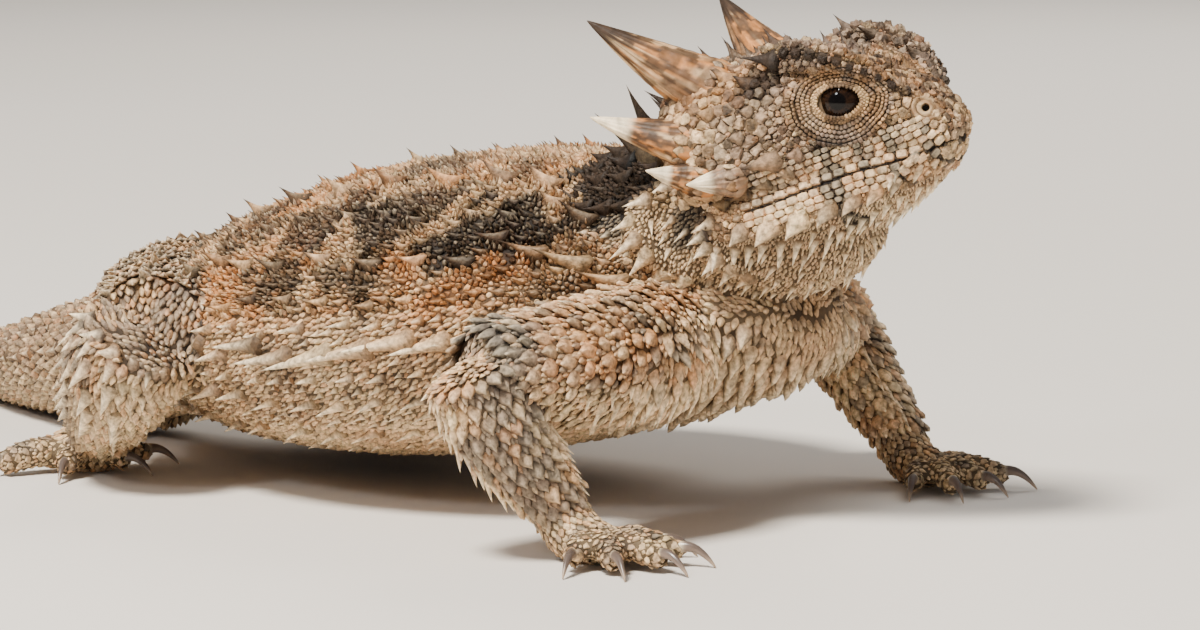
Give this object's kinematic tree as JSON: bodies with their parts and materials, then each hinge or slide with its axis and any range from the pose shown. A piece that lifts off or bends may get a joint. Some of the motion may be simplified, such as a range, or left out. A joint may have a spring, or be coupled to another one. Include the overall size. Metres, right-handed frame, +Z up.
{
  "type": "horned lizard",
  "caption": "Life-size still model of a horned lizard, chest raised on spread legs, head turned a little, with horned head, spiny fringes and a short tapering tail.",
  "frame": {"origin": "on the floor under the middle of the whole model's box", "axes": "+X forwards along the trunk, +Y to the animal's left, +Z up"},
  "size_m": [0.1394, 0.0706, 0.044],
  "materials": {
    "trunk_skin": "dry matte keeled scales, orange-brown and tan with dark blotches and pale spines",
    "head_skin": "dry matte plate-like scales, grey-brown above, tan lips, cream chin shields",
    "limb_skin": "dry matte overlapping keeled scales, grey-brown with tan edges",
    "horn": "satin keratin with lengthwise grooves, brown and cream with dark patches",
    "claw": "slightly glossy, translucent grey-brown keratin",
    "eye": "wet gloss over a dark brown iris and a round pupil"
  },
  "bodies": {
    "root": {"claw_foot_left_1": "claw", "claw_foot_left_2": "claw", "claw_foot_left_3": "claw", "claw_foot_left_4": "claw", "claw_foot_left_5": "claw", "claw_foot_right_1": "claw", "claw_foot_right_2": "claw", "claw_foot_right_3": "claw", "claw_foot_right_4": "claw", "claw_foot_right_5": "claw", "claw_hand_left_1": "claw", "claw_hand_left_2": "claw", "claw_hand_left_3": "claw", "claw_hand_left_4": "claw", "claw_hand_left_5": "claw", "claw_hand_right_1": "claw", "claw_hand_right_2": "claw", "claw_hand_right_3": "claw", "claw_hand_right_4": "claw", "claw_hand_right_5": "claw", "eye_left": "eye", "eye_right": "eye", "foot_left": "limb_skin", "foot_right": "limb_skin", "forearm_left": "limb_skin", "forearm_right": "limb_skin", "hand_left": "limb_skin", "hand_right": "limb_skin", "head": "head_skin", "horn_occipital_left": "horn", "horn_occipital_right": "horn", "horn_temporal_front_left": "horn", "horn_temporal_front_right": "horn", "horn_temporal_lower_left": "horn", "horn_temporal_lower_right": "horn", "horn_temporal_upper_left": "horn", "horn_temporal_upper_right": "horn", "jaw": "head_skin", "neck": "trunk_skin", "shin_left": "limb_skin", "shin_right": "limb_skin", "tail": "trunk_skin", "thigh_left": "limb_skin", "thigh_right": "limb_skin", "torso": "trunk_skin", "upper_arm_left": "limb_skin", "upper_arm_right": "limb_skin"}
  },
  "joints": []
}
